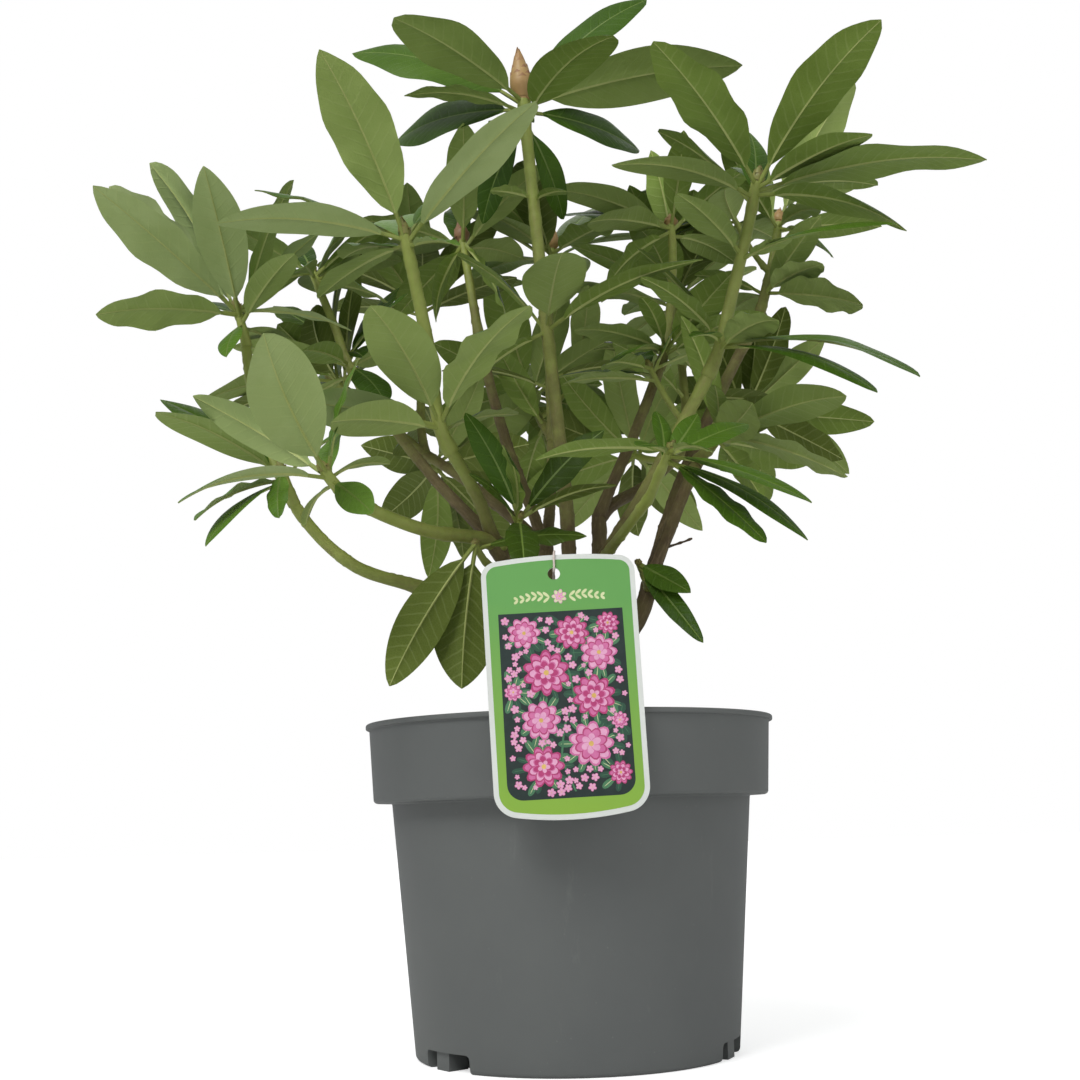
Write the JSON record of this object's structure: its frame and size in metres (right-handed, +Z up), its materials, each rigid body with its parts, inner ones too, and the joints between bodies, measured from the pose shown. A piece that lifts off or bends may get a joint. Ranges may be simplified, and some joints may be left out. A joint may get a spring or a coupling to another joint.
{
  "type": "potted rhododendron",
  "caption": "Evergreen garden shrub with whorls of long leathery leaves on upright forked stems, in a round tapered nursery pot with a tied plastic tag.",
  "frame": {"origin": "middle of the pot's flat underside", "axes": "+Z up, +X right and +Y to the back, seen from the side with the tag"},
  "size_m": [0.4933, 0.4781, 0.6156],
  "materials": {
    "pot_plastic": "satin moulded dark grey plastic with light scuffs",
    "potting_mix": "coarse dark peat and bark, matte",
    "bark": "smooth green young wood, brown and finely cracked on the older boughs",
    "foliage": "leathery leaf, satin above and sage green below",
    "label_plastic": "printed thin plastic tag with a white border",
    "tie_cord": "pale twisted thread"
  },
  "bodies": {
    "root": {"bough_back": "bark", "bough_back_right": "bark", "bough_centre": "bark", "bough_far_left": "bark", "bough_front_left": "bark", "bough_front_low": "bark", "bough_inner_left": "bark", "bough_left": "bark", "bough_left_low": "bark", "bough_left_reach": "bark", "bough_low_front": "bark", "bough_mid_back": "bark", "bough_mid_left": "bark", "bough_rear_centre": "bark", "bough_rear_left": "bark", "bough_rear_right": "bark", "bough_right": "bark", "bough_right_back": "bark", "bough_right_front": "bark", "bough_right_mid": "bark", "foliage_centre_low": "foliage", "foliage_far_left": "foliage", "foliage_front_left": "foliage", "foliage_front_low": "foliage", "foliage_hanging": "foliage", "foliage_inner_left": "foliage", "foliage_leader": "foliage", "foliage_left_low": "foliage", "foliage_low_front": "foliage", "foliage_mid_back": "foliage", "foliage_mid_left": "foliage", "foliage_rear_centre": "foliage", "foliage_rear_high": "foliage", "foliage_rear_left": "foliage", "foliage_rear_left_high": "foliage", "foliage_rear_left_low": "foliage", "foliage_rear_right": "foliage", "foliage_rear_right_high": "foliage", "foliage_rear_right_low": "foliage", "foliage_right_back": "foliage", "foliage_right_front": "foliage", "foliage_right_low": "foliage", "foliage_right_mid": "foliage", "label": "label_plastic", "label_tie": "tie_cord", "pot": "pot_plastic", "potting_soil": "potting_mix", "trunk": "bark"}
  },
  "joints": []
}
